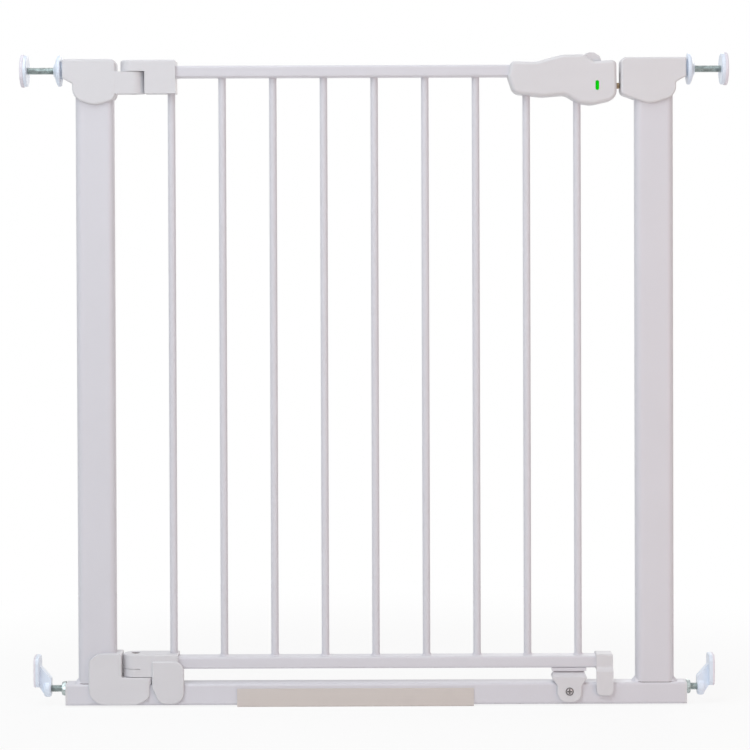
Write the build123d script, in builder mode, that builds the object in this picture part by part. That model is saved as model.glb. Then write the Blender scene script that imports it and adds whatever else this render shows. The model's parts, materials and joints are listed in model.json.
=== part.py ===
from build123d import *
import os

# Safety gate for a doorway, held between two walls by four screw adjusters.
# Millimetres. +Z is up, and +X is to the right for someone in front of the gate.
# The front looks along -Y. Z = 0 is the floor and X = 0 is the middle of the gate.

LEFT = -1
RIGHT = 1

# Running gap round a shaft, gap round a fitted tube, and gap between moving faces
SHAFT_GAP = 0.06
FIT_GAP = 0.15
FACE_GAP = 0.5

# Gap of a press fit, and how far a cut runs past the face that it opens
PRESS_GAP = 0.02
OVERCUT = 5

# Bottom rail: a low tube with rounded edges
RAIL_HALF = 341.8
RAIL_DEPTH = 24
RAIL_BOTTOM = 1.6
RAIL_TOP = 25.6
RAIL_ROUND = 3
RAIL_WALL = 1.4
CAP_PLATE = 2.5
CAP_PLUG = 12

# Posts: flat-oval tubes that stand on the rail
POST_X = 309.4
POST_WIDTH = 42.5
POST_DEPTH = 20
POST_ROUND = 7.5
POST_WALL = 1.5
POST_TOP = 696

# Top brackets, measured outward from the middle of each post
BRACKET_DEPTH = 27
BRACKET_TOP = 717.4
BRACKET_ARM = 35.4
BRACKET_ARM_LOW = 696.5
BRACKET_ARM_SLOPE = 6.5
BRACKET_HALF = 24
BRACKET_EDGE = 2.2
BRACKET_CORNER = 1.5
BRACKET_CHEEK = 674.5
BRACKET_CHEEK_ROUND = 15
BRACKET_CHIN = 665.4
BRACKET_CHIN_ROUND = 26
BRACKET_TOP_ROUND = 6
BRACKET_SCREW_Z = 684
BRACKET_SCREW_HEAD = 2.2
KNUCKLE_CHIN = (-1, BRACKET_CHIN, BRACKET_CHIN_ROUND)
KNUCKLE_CHEEK = (-23.8, 673, 9)
KEEPER_CHIN = (-5, BRACKET_CHIN, BRACKET_CHIN_ROUND)
KEEPER_CHEEK = (-37, 677, 6)
KEEPER_DEEP = 10.5

# Hinge line on the left
HINGE_X = -267.2
HINGE_RADIUS = 13.8
HINGE_PIN = 4.4
KNUCKLE_RADIUS = 13.3
KNUCKLE_LOW = 679.3
KNUCKLE_TOP = 703.4
UPPER_HINGE_TOP = 716.3
UPPER_PIN_LOW = 682
UPPER_PIN_TOP = 712.5
HINGE_END = -219.3
LEAF_EDGE = 2
KNUCKLE_ROOT = 2.2
PIN_CHAMFER = 0.7

# Lower hinge: the fixed boot, the bush on its pin and the block on the door
BOOT_LEFT = -318.6
BOOT_POST_SIDE = -281.8
BOOT_ARM_END = -248.8
BOOT_LOW = 3
BOOT_ARM_TOP = 33
BOOT_TOP = 59.6
BOOT_FRONT = -15.6
BOOT_BACK = 13
BOOT_EDGE = 0.9
BOOT_CORNERS = [
    (BOOT_LEFT, 51, 9),
    (BOOT_LEFT + 10, BOOT_TOP, 15),
    (BOOT_POST_SIDE, BOOT_TOP, 1.5),
    (BOOT_POST_SIDE, BOOT_ARM_TOP, 2),
    (BOOT_ARM_END, BOOT_ARM_TOP, 1.5),
    (BOOT_ARM_END, 26.5, 1.5),
    (BOOT_ARM_END - 2.4, 24, 2),
    (BOOT_ARM_END - 2.4, 10, 8),
    (BOOT_ARM_END - 16, BOOT_LOW, 22),
    (BOOT_LEFT, BOOT_LOW, 19),
]
BOOT_PLAN_CORNERS = [
    (BOOT_LEFT, BOOT_FRONT, 3),
    (BOOT_ARM_END, BOOT_FRONT, 5),
    (BOOT_ARM_END, BOOT_BACK, 9),
    (BOOT_LEFT, BOOT_BACK, 3),
]
LOWER_PIN_LOW = 6
LOWER_PIN_TOP = 57.6
BUSH_RADIUS = 6
BUSH_FLANGE = 9.4
BUSH_FLANGE_THICK = 1.6
BUSH_LOW = 33.2
BUSH_TOP = 52
BUSH_PLAY = 0.3
BLOCK_LOW = 33.6
BLOCK_TOP = 58.4
BLOCK_HOLE = 4.8
BLOCK_EDGE = 1.6
BLOCK_SLIT_Z = 42.4
BLOCK_SLIT = 0.8
BLOCK_SLIT_DEEP = 1.2

# Paddle on the lower hinge block, in front of the rail
PADDLE_LEFT = -248
PADDLE_RIGHT = -212.6
PADDLE_LOW = 3.6
PADDLE_TOP = 51
PADDLE_FRONT = -15.8
PADDLE_BACK = -12.6
PADDLE_EDGE = 1.7
PADDLE_CORNERS = [
    (PADDLE_LEFT, PADDLE_TOP, 2),
    (PADDLE_RIGHT, PADDLE_TOP, 11),
    (PADDLE_RIGHT, PADDLE_LOW, 13),
    (PADDLE_LEFT + 8, PADDLE_LOW, 11),
    (PADDLE_LEFT, 22, 6),
]

# Door grid
DOOR_DEPTH = 20
DOOR_RAIL_HEIGHT = 13.2
DOOR_RAIL_ROUND = 2.4
DOOR_RAIL_WALL = 1.2
DOOR_RAIL_LEFT = -246
BOTTOM_RAIL_LOW = 41.7
BOTTOM_RAIL_RIGHT = 259.5
TOP_RAIL_LOW = 696.6
TOP_RAIL_RIGHT = 230
BAR_COUNT = 9
BAR_FIRST = -224.7
BAR_PITCH = 56.175
BAR_RADIUS = 4.2
BAR_WALL = 1

# Catch on the rail and tab on the door
CATCH_X = 214
CATCH_FRONT = -16
CATCH_RIDGE = 37.6
CATCH_LOW = 4.4
CATCH_BACK = 7
CATCH_WAIST = 13.5
CATCH_EAR = 19.6
CATCH_SLOPE = 6
CATCH_EDGE = 1
CATCH_HALF_CORNERS = [
    (CATCH_EAR - 3.6, CATCH_RIDGE + 1, 1.5),
    (CATCH_EAR, CATCH_RIDGE - 6.6, 3),
    (CATCH_WAIST, CATCH_RIDGE - 14.6, 4),
    (CATCH_WAIST, CATCH_LOW, 11),
]
CATCH_RIDGE_CORNERS = [
    (CATCH_FRONT - 1, RAIL_BOTTOM),
    (CATCH_FRONT - 1, CATCH_RIDGE - CATCH_SLOPE),
    (-CATCH_SLOPE, CATCH_RIDGE),
    (-1, CATCH_RIDGE),
    (CATCH_BACK + 1, CATCH_RIDGE - CATCH_SLOPE - 1),
    (CATCH_BACK + 1, RAIL_BOTTOM),
]
TAB_HALF = 19
TAB_DEPTH = (-9.8, 8)
TAB_LIP = (-9.8, -1)
TAB_LOW = 38.1
TAB_THICK = 1.7
SCREW_Z = 16.4
SCREW_HEAD = 4.3
SCREW_SHANK = 2
SCREW_SEAT = 1.5
SCREW_PROUD = 0.7
SCREW_EDGE = 0.9
SCREW_TIP = -8.5
CROSS_HALF = 2.6
CROSS_WIDTH_HALF = 0.55
CROSS_DEEP = 1.3

# Hook cap on the free end of the lower door rail
HOOK_LEFT = 243.8
HOOK_RIGHT = 262.4
HOOK_TOP = 57
HOOK_LOW = 11.6
HOOK_FRONT = -17
HOOK_BACK = -13
HOOK_WALL = 1.6
HOOK_HALF = DOOR_DEPTH / 2 + HOOK_WALL
HOOK_SLEEVE_LOW = BOTTOM_RAIL_LOW - HOOK_WALL
HOOK_SIDE_CORNERS = [
    (HOOK_HALF, HOOK_SLEEVE_LOW, 1),
    (HOOK_HALF, HOOK_TOP, 2),
    (-HOOK_HALF, HOOK_TOP, 2),
    (-HOOK_HALF, BOTTOM_RAIL_LOW + 0.8, 2),
    (HOOK_FRONT, HOOK_SLEEVE_LOW - 1.2, 1.5),
    (HOOK_FRONT, HOOK_LOW, 1.5),
    (HOOK_BACK, HOOK_LOW, 1.5),
    (HOOK_BACK, HOOK_SLEEVE_LOW - 4, 1.5),
    (-HOOK_HALF + 3, HOOK_SLEEVE_LOW, 1),
]
HOOK_FACE_CORNERS = [
    (HOOK_LEFT, HOOK_TOP, 1.5),
    (HOOK_RIGHT, HOOK_TOP, 1.5),
    (HOOK_RIGHT, HOOK_LOW, 7),
    (HOOK_LEFT, HOOK_LOW, 7),
]

# Strip under the middle of the rail
STRIP_LEFT = -154
STRIP_RIGHT = 108
STRIP_HALF_DEPTH = 13.6
STRIP_TOP = 20.2
STRIP_CORNERS = [
    (-STRIP_HALF_DEPTH, 0, 1.5),
    (STRIP_HALF_DEPTH, 0, 1.5),
    (STRIP_HALF_DEPTH, STRIP_TOP, 0.5),
    (-STRIP_HALF_DEPTH, STRIP_TOP, 0.5),
]

# Handle and latch
HANDLE_HALF_DEPTH = 15
HANDLE_EDGE = 4
HANDLE_LEFT = 147.6
HANDLE_CORNERS = [
    (151.5, 713.4, 4),
    (178, 712.6, 40),
    (207, 720.4, 40),
    (231, 720.8, 5),
    (243, 712.9, 3),
    (253, 714, 6),
    (267.4, 714.3, 5),
    (267.8, 671, 12),
    (241, 664.9, 22),
    (226, 666.8, 12),
    (211.5, 676, 14),
    (186, 674, 30),
    (154, 677.8, 10),
    (HANDLE_LEFT, 697, 6),
]
HANDLE_SCREWS = [(158, 685.5), (197, 686), (246, 672.5)]
HANDLE_SCREW = 1.5
HANDLE_SCREW_HEAD = 3
HANDLE_SCREW_SEAT = 12.7
HANDLE_SCREW_END = 14.6
BOLT_Z = 686.5
BOLT_RADIUS = 3.3
BOLT_TIP = 272
CARRIAGE_LEFT = 238.5
CARRIAGE_RIGHT = 252
CARRIAGE_LOW = 681.6
CARRIAGE_TOP = 709
CARRIAGE_HALF = 5
LATCH_BACK = 4
LATCH_OUT = 8
CHANNEL_HALF = 7
CHANNEL_RIGHT = 262.4
CARRIAGE_FLOOR_GAP = 2
SLIDER_LOW = CARRIAGE_TOP + 2.6
SLIDER_CORNERS = [
    (232.4, SLIDER_LOW, 1),
    (233.2, 721.8, 2.5),
    (238, 723.4, 3),
    (243.5, 723.2, 3),
    (249.8, 719, 4),
    (252, SLIDER_LOW, 1),
]
SLIDER_HALF = 6
SLIDER_EDGE = 0.8
SLIDER_STEM = (240, 249)
SLIDER_STEM_HALF = 4
SLIDER_SLOT = (227.8, 260.6)
SLIDER_SLOT_LOW = CARRIAGE_TOP + 2
FLAG_SLOT = (233, 260.5)
WINDOW_X = 246.1
WINDOW_Z = 686.5
WINDOW_WIDTH = 4.2
WINDOW_HEIGHT = 11
FLAG_FRONT = -12.6
FLAG_THICK = 1.6
FLAG_HALF = 6.3
FLAG_GAP = 0.4
FLAG_RIGHT = WINDOW_X + 5.5
SPRING_Z = 702
SPRING_RADIUS = 2.9
SPRING_WIRE = 0.45
SPRING_TURNS = 6
SPRING_LENGTH = 12.5
SPRING_POCKET = 0.8
LIFT = 10

# Adjusters
SPINDLE_RADIUS = 4
UPPER_SPINDLE_Z = 705
UPPER_SPINDLE_IN = 316
UPPER_BORE_IN = 290
WHEEL_BORE = SPINDLE_RADIUS + SHAFT_GAP
WHEEL_CORNERS = [
    (345.3, WHEEL_BORE, 0),
    (345.3, 9, 0.4),
    (346.6, 9, 0),
    (346.6, 17.4, 1.2),
    (350.6, 17.4, 1.6),
    (352.2, 13.5, 2),
    (354.6, 7, 1),
    (354.6, WHEEL_BORE, 0),
]
PAD_FACE = 391
PAD_RADIUS = 18.2
PAD_JOIN = 387.3
CUP_IN = 383.8
CUP_RADIUS = 17.4
CUP_FLOOR = 2.3
CUP_EDGE = 1.2
PAD_EDGE = 0.9
LOWER_SPINDLE_Z = 19
LOWER_SPINDLE_IN = 318
LOWER_SPINDLE_OUT = 364.8
NUT_ACROSS = 14.5
NUT_THICK = 4.3
NUT_GAP = 0.4
NUT_CHAMFER = 28
NUT_CORNER = 9.4
FOOT_FACE = 377.2
FOOT_JOIN = 375
FOOT_IN = 358.8
FOOT_LOW = 21.2
FOOT_TOP = 56
FOOT_HALF_DEPTH = 13.5
FOOT_ROUND = 8
FOOT_PLATE = 371
FOOT_EDGE = 1.6
FOOT_BOSS = 9.4
FOOT_BOSS_ROUND = 2.6
FOOT_BOSS_OUT = 366.8
FOOT_NECK = 12
FOOT_NECK_CORNERS = [
    (FOOT_PLATE + 1, 49, 0),
    (FOOT_PLATE - 0.6, 43.5, 8),
    (FOOT_IN, 30.5, 3),
    (FOOT_IN, LOWER_SPINDLE_Z, 0),
    (FOOT_BOSS_OUT - 1.2, LOWER_SPINDLE_Z - 6.5, 0),
    (FOOT_PLATE + 1, FOOT_LOW + 0.6, 0),
]

# How far each lower screw is turned out from the mean of the two
LOWER_REACH = {LEFT: 2.2, RIGHT: -2.2}


def front(y):
    """Plane at depth y that faces the front, drawn in X and Z."""
    return Plane.XZ.offset(-y)


def across(x):
    """Plane at width x that faces right, drawn in Y and Z."""
    return Plane.YZ.offset(x)


def block(x, y, z, mode=Mode.ADD):
    """Box between the low and high value of each pair."""
    with Locations(((x[0] + x[1]) / 2, (y[0] + y[1]) / 2, (z[0] + z[1]) / 2)):
        Box(abs(x[1] - x[0]), y[1] - y[0], z[1] - z[0], mode=mode)


def round_bar(start, end, radius, mode=Mode.ADD):
    """Cylinder between two points."""
    run = Vector(*end) - Vector(*start)
    with Locations(Plane(origin=start, z_dir=run)):
        Cylinder(radius, run.length, align=(Align.CENTER, Align.CENTER, Align.MIN), mode=mode)


def rounded_face(corners):
    """Face with straight sides between (x, y, radius) corners."""
    points = [(x, y) for x, y, _ in corners]
    radii = [radius for _, _, radius in corners]
    with BuildLine() as outline:
        FilletPolyline(*points, radius=radii, close=True)
    make_face(outline.edges())


def rail_section(growth=0.0, mode=Mode.ADD):
    """Section of the rail in Y and Z, grown all round."""
    with Locations((0, (RAIL_BOTTOM + RAIL_TOP) / 2)):
        height = RAIL_TOP - RAIL_BOTTOM + 2 * growth
        RectangleRounded(RAIL_DEPTH + 2 * growth, height, RAIL_ROUND + growth, mode=mode)


def cut_rail(low, high):
    """Take the rail and its fitting gap out of the piece, between two widths."""
    with BuildSketch(across(low)) as section:
        rail_section(FIT_GAP)
    extrude(section.sketch, amount=high - low, mode=Mode.SUBTRACT)


def cut_post(side, low, high):
    """Take the post and its fitting gap out of the piece, between two heights."""
    with BuildSketch(Plane.XY.offset(low)) as section:
        with Locations((side * POST_X, 0)):
            RectangleRounded(POST_WIDTH + 2 * FIT_GAP, POST_DEPTH + 2 * FIT_GAP, POST_ROUND + FIT_GAP)
    extrude(section.sketch, amount=high - low, mode=Mode.SUBTRACT)


def bar_x(number):
    """Place of a door bar, counted from 1 on the hinge side."""
    return BAR_FIRST + BAR_PITCH * (number - 1)


def save(piece, name):
    """Label a finished piece and write it."""
    piece.part.label = name
    export_step(piece.part, f"parts/{name}.step")


def make_post(side):
    """Flat-oval tube, with the hole of the bracket screw in its back wall."""
    with BuildPart() as post:
        with BuildSketch(Plane.XY.offset(RAIL_TOP)):
            with Locations((side * POST_X, 0)):
                RectangleRounded(POST_WIDTH, POST_DEPTH, POST_ROUND)
                RectangleRounded(
                    POST_WIDTH - 2 * POST_WALL,
                    POST_DEPTH - 2 * POST_WALL,
                    POST_ROUND - POST_WALL,
                    mode=Mode.SUBTRACT,
                )
        extrude(amount=POST_TOP - RAIL_TOP)
        back = (side * POST_X, POST_DEPTH, BRACKET_SCREW_Z)
        round_bar((side * POST_X, 0, BRACKET_SCREW_Z), back, SCREW_SHANK + SHAFT_GAP, Mode.SUBTRACT)
    return post


def make_end_cap(side):
    """Plug in the end of the rail, bored for the lower spindle."""
    with BuildPart() as cap:
        with BuildSketch(across(side * RAIL_HALF)):
            rail_section()
        extrude(amount=side * CAP_PLATE)
        with BuildSketch(across(side * RAIL_HALF)):
            rail_section(-RAIL_WALL - FIT_GAP)
        extrude(amount=-side * CAP_PLUG)
        inner = (side * (RAIL_HALF - 2 * CAP_PLUG), 0, LOWER_SPINDLE_Z)
        outer = (side * (RAIL_HALF + 2 * CAP_PLATE), 0, LOWER_SPINDLE_Z)
        round_bar(inner, outer, SPINDLE_RADIUS + SHAFT_GAP, Mode.SUBTRACT)
    return cap


def bracket_body(side, chin, cheek):
    """Outline of a top bracket, pocket for the post and bore of the upper spindle."""
    inner_corners = [chin, cheek, (cheek[0], BRACKET_TOP, BRACKET_TOP_ROUND)]
    outer_corners = [
        (BRACKET_ARM, BRACKET_TOP, BRACKET_CORNER),
        (BRACKET_ARM, BRACKET_ARM_LOW, BRACKET_CORNER),
        (BRACKET_HALF, BRACKET_ARM_LOW - BRACKET_ARM_SLOPE, BRACKET_CORNER),
        (BRACKET_HALF, BRACKET_CHEEK, BRACKET_CHEEK_ROUND),
    ]
    corners = [(side * (POST_X + u), z, r) for u, z, r in outer_corners + inner_corners]
    with BuildSketch(front(BRACKET_DEPTH / 2)) as outline:
        rounded_face(corners)
    body = extrude(outline.sketch, amount=BRACKET_DEPTH)
    faces = body.faces().sort_by(Axis.Y)
    fillet(faces[0].edges() + faces[-1].edges(), BRACKET_EDGE)
    cut_post(side, BRACKET_CHIN - OVERCUT, POST_TOP + FIT_GAP)
    bore_end = (side * UPPER_BORE_IN, 0, UPPER_SPINDLE_Z)
    arm_end = (side * (POST_X + BRACKET_ARM + OVERCUT), 0, UPPER_SPINDLE_Z)
    round_bar(bore_end, arm_end, SPINDLE_RADIUS + SHAFT_GAP, Mode.SUBTRACT)
    back = (side * POST_X, BRACKET_DEPTH, BRACKET_SCREW_Z)
    round_bar((side * POST_X, 0, BRACKET_SCREW_Z), back, SCREW_SHANK + SHAFT_GAP, Mode.SUBTRACT)


def hinge_plan(radius, end):
    """Plan of a hinge leaf: round about the hinge line and straight to its end."""
    with Locations((HINGE_X, 0)):
        Circle(radius)
    with Locations(((HINGE_X + end) / 2, 0)):
        Rectangle(abs(end - HINGE_X), 2 * radius)


def door_rail(left, right, low):
    """Flat tube of the door, between two widths."""
    with BuildSketch(across(left)) as section:
        with Locations((0, low + DOOR_RAIL_HEIGHT / 2)):
            RectangleRounded(DOOR_DEPTH, DOOR_RAIL_HEIGHT, DOOR_RAIL_ROUND)
            RectangleRounded(
                DOOR_DEPTH - 2 * DOOR_RAIL_WALL,
                DOOR_RAIL_HEIGHT - 2 * DOOR_RAIL_WALL,
                DOOR_RAIL_ROUND - DOOR_RAIL_WALL,
                mode=Mode.SUBTRACT,
            )
    extrude(section.sketch, amount=right - left)


def cut_door_rail(left, right, low):
    """Pocket for a door rail, between two widths."""
    with BuildSketch(across(left)) as section:
        with Locations((0, low + DOOR_RAIL_HEIGHT / 2)):
            RectangleRounded(DOOR_DEPTH + 2 * FIT_GAP, DOOR_RAIL_HEIGHT + 2 * FIT_GAP, DOOR_RAIL_ROUND)
    extrude(section.sketch, amount=right - left, mode=Mode.SUBTRACT)


def cut_bar(number, low, high):
    """Hole for a door bar, between two heights."""
    x = bar_x(number)
    round_bar((x, 0, low), (x, 0, high), BAR_RADIUS + FIT_GAP, Mode.SUBTRACT)


def make_handle_shell(facing):
    """Half of the handle, on the front (-1) or the back (1) of its middle plane."""
    with BuildPart() as shell:
        with BuildSketch(front(0)):
            rounded_face(HANDLE_CORNERS)
        outer = extrude(amount=-facing * HANDLE_HALF_DEPTH)
        skin = outer.faces().sort_by(Axis.Y)[0 if facing < 0 else -1]
        fillet(skin.edges(), HANDLE_EDGE)
        cut_door_rail(HANDLE_LEFT - OVERCUT, TOP_RAIL_RIGHT + FACE_GAP, TOP_RAIL_LOW)
        for number in (BAR_COUNT - 1, BAR_COUNT):
            cut_bar(number, BRACKET_CHIN - 2 * OVERCUT, TOP_RAIL_LOW)
        # Channel of the latch carriage, open at the top for the thumb slider
        channel = (-CHANNEL_HALF, CHANNEL_HALF)
        channel_width = (CARRIAGE_LEFT - LATCH_BACK - FLAG_GAP, CHANNEL_RIGHT)
        open_top = BRACKET_TOP + OVERCUT
        block(channel_width, channel, (CARRIAGE_LOW - CARRIAGE_FLOOR_GAP, open_top), Mode.SUBTRACT)
        block(SLIDER_SLOT, channel, (SLIDER_SLOT_LOW, open_top), Mode.SUBTRACT)
        flag_room = (FLAG_FRONT - FLAG_GAP, CHANNEL_HALF)
        flag_height = (WINDOW_Z - FLAG_HALF - FLAG_GAP, WINDOW_Z + FLAG_HALF + FLAG_GAP)
        block(FLAG_SLOT, flag_room, flag_height, Mode.SUBTRACT)
        bolt_end = (BOLT_TIP, 0, BOLT_Z)
        round_bar((CARRIAGE_RIGHT, 0, BOLT_Z), bolt_end, BOLT_RADIUS + 2 * SHAFT_GAP, Mode.SUBTRACT)
        if facing < 0:
            with BuildSketch(front(0)):
                with Locations((WINDOW_X, WINDOW_Z)):
                    SlotOverall(WINDOW_HEIGHT, WINDOW_WIDTH, rotation=90)
            extrude(amount=HANDLE_HALF_DEPTH + OVERCUT, mode=Mode.SUBTRACT)
        back = HANDLE_HALF_DEPTH + OVERCUT
        for x, z in HANDLE_SCREWS:
            round_bar((x, SCREW_TIP - FACE_GAP, z), (x, back, z), HANDLE_SCREW + SHAFT_GAP, Mode.SUBTRACT)
            round_bar((x, HANDLE_SCREW_SEAT, z), (x, back, z), HANDLE_SCREW_HEAD + FIT_GAP, Mode.SUBTRACT)
    return shell


def make_upper_spindle(side):
    """Threaded rod from the bracket's bore into the pad cup."""
    with BuildPart() as spindle:
        outer = (side * (CUP_IN + CUP_FLOOR), 0, UPPER_SPINDLE_Z)
        round_bar((side * UPPER_SPINDLE_IN, 0, UPPER_SPINDLE_Z), outer, SPINDLE_RADIUS)
    return spindle


def turned(side, profile):
    """Piece turned about an upper spindle, from (x, radius, rounding) corners."""
    axis = Axis((0, 0, UPPER_SPINDLE_Z), (1, 0, 0))
    with BuildSketch(Plane.XZ) as half:
        rounded_face([(side * x, UPPER_SPINDLE_Z + radius, rounding) for x, radius, rounding in profile])
    revolve(half.sketch, axis=axis)


def make_wheel(side):
    """Hand wheel: a collar at the bracket, a rim, and a cone that narrows towards the wall."""
    with BuildPart() as wheel:
        turned(side, WHEEL_CORNERS)
    return wheel


def make_pad_cup(side):
    """Plastic cup that holds the rubber wall pad on the spindle's end."""
    hole = SPINDLE_RADIUS + PRESS_GAP
    with BuildPart() as cup:
        turned(
            side,
            [
                (CUP_IN, hole, 0),
                (CUP_IN, CUP_RADIUS, CUP_EDGE),
                (PAD_JOIN, CUP_RADIUS, 0),
                (PAD_JOIN, 0, 0),
                (CUP_IN + CUP_FLOOR, 0, 0),
                (CUP_IN + CUP_FLOOR, hole, 0),
            ],
        )
    return cup


def make_wall_pad(side):
    """Rubber disc with a flat outer face."""
    with BuildPart() as pad:
        turned(
            side,
            [
                (PAD_JOIN, 0, 0),
                (PAD_JOIN, PAD_RADIUS, PAD_EDGE),
                (PAD_FACE, PAD_RADIUS, PAD_EDGE),
                (PAD_FACE, 0, 0),
            ],
        )
    return pad


def lower_x(side, x):
    """Width of a point on a lower screw, which each side has turned out by its own reach."""
    return side * (x + LOWER_REACH[side])


def make_lower_spindle(side):
    """Threaded rod from inside the rail into the foot."""
    with BuildPart() as spindle:
        inner = (lower_x(side, LOWER_SPINDLE_IN), 0, LOWER_SPINDLE_Z)
        outer = (lower_x(side, LOWER_SPINDLE_OUT), 0, LOWER_SPINDLE_Z)
        round_bar(inner, outer, SPINDLE_RADIUS)
    return spindle


def make_nut(side):
    """Thin hexagon nut with chamfered corners."""
    inner = RAIL_HALF + CAP_PLATE + NUT_GAP
    with BuildPart() as nut:
        with BuildSketch(across(side * inner)):
            with Locations((0, LOWER_SPINDLE_Z)):
                RegularPolygon(NUT_ACROSS / 2, 6, major_radius=False)
                Circle(SPINDLE_RADIUS + SHAFT_GAP, mode=Mode.SUBTRACT)
        extrude(amount=side * NUT_THICK)
        with BuildSketch(across(side * inner)):
            with Locations((0, LOWER_SPINDLE_Z)):
                Circle(NUT_CORNER)
        extrude(amount=side * NUT_THICK, taper=NUT_CHAMFER, mode=Mode.INTERSECT)
    return nut


def make_foot(side):
    """Offset foot: a tall plate, and a neck down to a boss that turns on the lower spindle."""
    with BuildPart() as foot:
        with BuildSketch(across(lower_x(side, FOOT_PLATE))):
            foot_oblong()
        extrude(amount=side * (FOOT_JOIN - FOOT_PLATE))
        inner_face = foot.faces().sort_by(Axis.X)[-1 if side < 0 else 0]
        fillet(inner_face.edges(), FOOT_EDGE)
        with BuildSketch(front(0)):
            rounded_face([(lower_x(side, x), z, radius) for x, z, radius in FOOT_NECK_CORNERS])
        extrude(amount=FOOT_NECK / 2, both=True)
        with BuildPart(mode=Mode.PRIVATE) as boss:
            boss_end = (lower_x(side, FOOT_BOSS_OUT), 0, LOWER_SPINDLE_Z)
            round_bar((lower_x(side, FOOT_IN), 0, LOWER_SPINDLE_Z), boss_end, FOOT_BOSS)
            fillet(boss.edges().filter_by(GeomType.CIRCLE), FOOT_BOSS_ROUND)
        add(boss.part)
        hole_start = (lower_x(side, FOOT_IN - OVERCUT), 0, LOWER_SPINDLE_Z)
        hole_end = (lower_x(side, LOWER_SPINDLE_OUT + FACE_GAP), 0, LOWER_SPINDLE_Z)
        round_bar(hole_start, hole_end, SPINDLE_RADIUS + SHAFT_GAP, Mode.SUBTRACT)
    return foot


def foot_oblong():
    """Outline of a foot's plate in Y and Z."""
    with Locations((0, (FOOT_LOW + FOOT_TOP) / 2)):
        RectangleRounded(2 * FOOT_HALF_DEPTH, FOOT_TOP - FOOT_LOW, FOOT_ROUND)


def make_foot_pad(side):
    """Rubber sheet on the wall side of a foot."""
    with BuildPart() as pad:
        with BuildSketch(across(lower_x(side, FOOT_JOIN))):
            foot_oblong()
        extrude(amount=side * (FOOT_FACE - FOOT_JOIN))
        wall_face = pad.faces().sort_by(Axis.X)[0 if side < 0 else -1]
        fillet(wall_face.edges(), PAD_EDGE)
    return pad


os.makedirs("parts", exist_ok=True)

# Bottom rail, with holes for the hinge pin and the catch screw
with BuildPart() as bottom_rail:
    with BuildSketch(across(-RAIL_HALF)):
        rail_section()
        rail_section(-RAIL_WALL, Mode.SUBTRACT)
    extrude(amount=2 * RAIL_HALF)
    pin_top = (HINGE_X, 0, RAIL_TOP + OVERCUT)
    round_bar((HINGE_X, 0, RAIL_TOP - OVERCUT), pin_top, HINGE_PIN + SHAFT_GAP, Mode.SUBTRACT)
    screw_front = (CATCH_X, -RAIL_DEPTH, SCREW_Z)
    round_bar((CATCH_X, SCREW_TIP, SCREW_Z), screw_front, SCREW_SHANK + SHAFT_GAP, Mode.SUBTRACT)
save(bottom_rail, "bottom_rail")

for side, word in ((LEFT, "left"), (RIGHT, "right")):
    save(make_post(side), f"{word}_post")
    save(make_end_cap(side), f"{word}_rail_end_cap")

# Left bracket: its knuckle reaches out to the hinge line
with BuildPart() as left_top_bracket:
    bracket_body(LEFT, KNUCKLE_CHIN, KNUCKLE_CHEEK)
    with BuildSketch(Plane.XY.offset(KNUCKLE_LOW)):
        hinge_plan(KNUCKLE_RADIUS, -POST_X + BRACKET_HALF - KNUCKLE_ROOT)
    extrude(amount=KNUCKLE_TOP - KNUCKLE_LOW)
    bore_top = (HINGE_X, 0, KNUCKLE_TOP + OVERCUT)
    round_bar((HINGE_X, 0, KNUCKLE_LOW - OVERCUT), bore_top, HINGE_PIN + SHAFT_GAP, Mode.SUBTRACT)
save(left_top_bracket, "left_top_bracket")

# Right bracket: a blind slot takes the bolt, also while the door is lifted
with BuildPart() as right_top_bracket:
    bracket_body(RIGHT, KEEPER_CHIN, KEEPER_CHEEK)
    keeper_face = POST_X + KEEPER_CHEEK[0]
    keeper_width = (keeper_face - OVERCUT, keeper_face + KEEPER_DEEP)
    keeper_half = BOLT_RADIUS + FACE_GAP
    keeper_height = (BOLT_Z - keeper_half, BOLT_Z + LIFT + keeper_half)
    block(keeper_width, (-keeper_half, keeper_half), keeper_height, Mode.SUBTRACT)
save(right_top_bracket, "right_top_bracket")

with BuildPart() as bracket_screws:
    for side in (LEFT, RIGHT):
        x = side * POST_X
        tip = (x, POST_DEPTH / 4, BRACKET_SCREW_Z)
        seat = (x, BRACKET_DEPTH / 2, BRACKET_SCREW_Z)
        crown = (x, BRACKET_DEPTH / 2 + BRACKET_SCREW_HEAD, BRACKET_SCREW_Z)
        round_bar(tip, seat, SCREW_SHANK)
        round_bar(seat, crown, SCREW_HEAD)
save(bracket_screws, "bracket_screws")

# Boot: clips round the post, stands on the rail, and covers the front of the rail
with BuildPart() as lower_hinge_boot:
    with BuildSketch(front(BOOT_BACK)):
        rounded_face(BOOT_CORNERS)
    extrude(amount=BOOT_BACK - BOOT_FRONT)
    fillet(lower_hinge_boot.faces().sort_by(Axis.Y)[0].edges(), BOOT_EDGE)
    with BuildSketch(Plane.XY):
        rounded_face(BOOT_PLAN_CORNERS)
    extrude(amount=BOOT_TOP + OVERCUT, mode=Mode.INTERSECT)
    cut_post(LEFT, 0, BOOT_TOP + OVERCUT)
    cut_rail(BOOT_LEFT - OVERCUT, BOOT_ARM_END + OVERCUT)
    pin_hole_top = (HINGE_X, 0, BOOT_ARM_TOP + OVERCUT)
    round_bar((HINGE_X, 0, RAIL_TOP - OVERCUT), pin_hole_top, HINGE_PIN + PRESS_GAP, Mode.SUBTRACT)
save(lower_hinge_boot, "lower_hinge_boot")

with BuildPart() as lower_hinge_pin:
    round_bar((HINGE_X, 0, LOWER_PIN_LOW), (HINGE_X, 0, LOWER_PIN_TOP), HINGE_PIN)
    chamfer(lower_hinge_pin.edges(), PIN_CHAMFER)
save(lower_hinge_pin, "lower_hinge_pin")

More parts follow.
